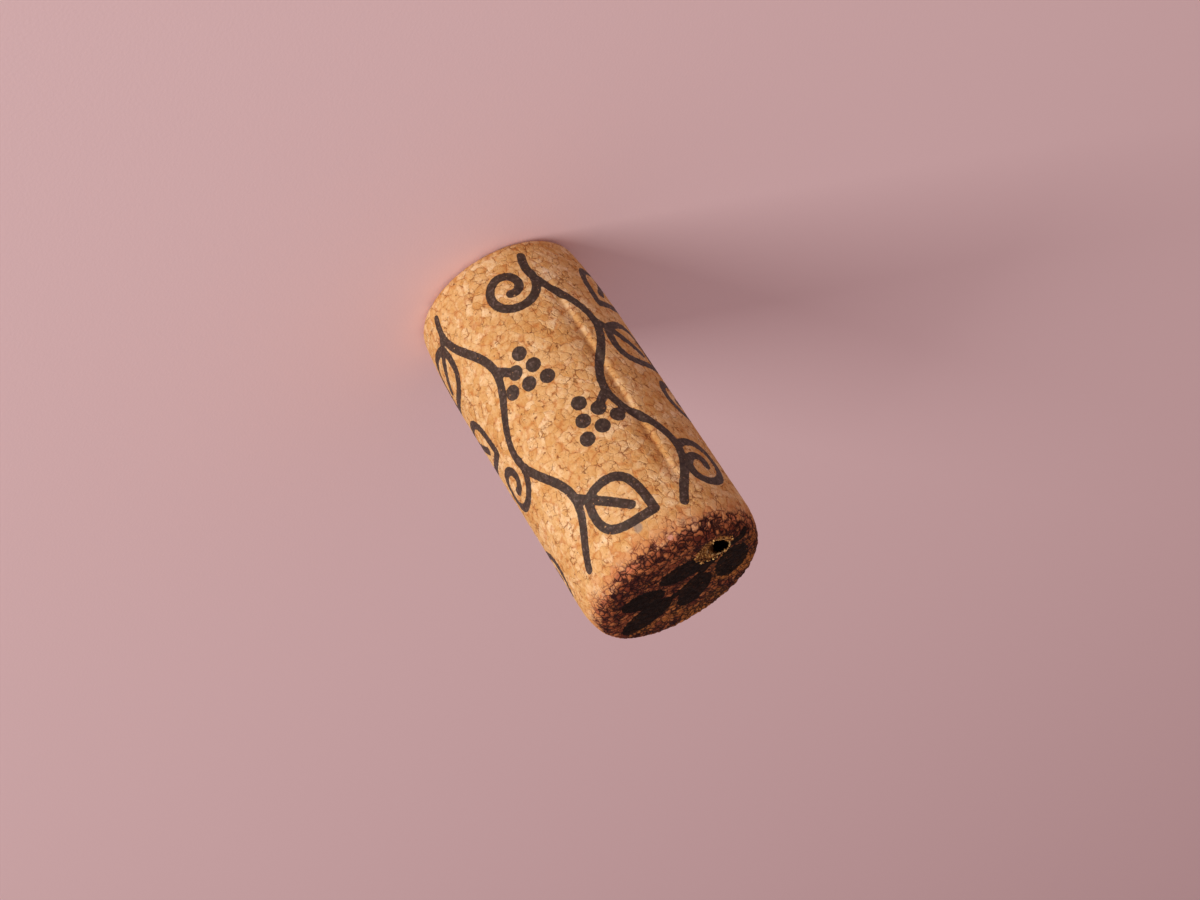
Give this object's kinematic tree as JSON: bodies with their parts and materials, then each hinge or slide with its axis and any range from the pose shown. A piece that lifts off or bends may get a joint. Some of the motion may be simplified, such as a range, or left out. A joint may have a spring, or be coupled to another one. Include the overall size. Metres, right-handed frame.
{
  "type": "wine cork",
  "caption": "Used wine bottle stopper of pressed cork granules, drawn in and rounded at its ends, creased down one side and pierced by a corkscrew.",
  "frame": {"origin": "centre of the bottle-top end, which the stopper stands on", "axes": "+Z along the stopper's axis towards the wine-stained end; the crease and the corkscrew's way out lie towards -X and -Y"},
  "size_m": [0.0218, 0.0218, 0.044],
  "materials": {
    "cork": "matt pressed cork granules, stained dark at the wine end"
  },
  "bodies": {
    "root": {"cork": "cork"}
  },
  "joints": []
}
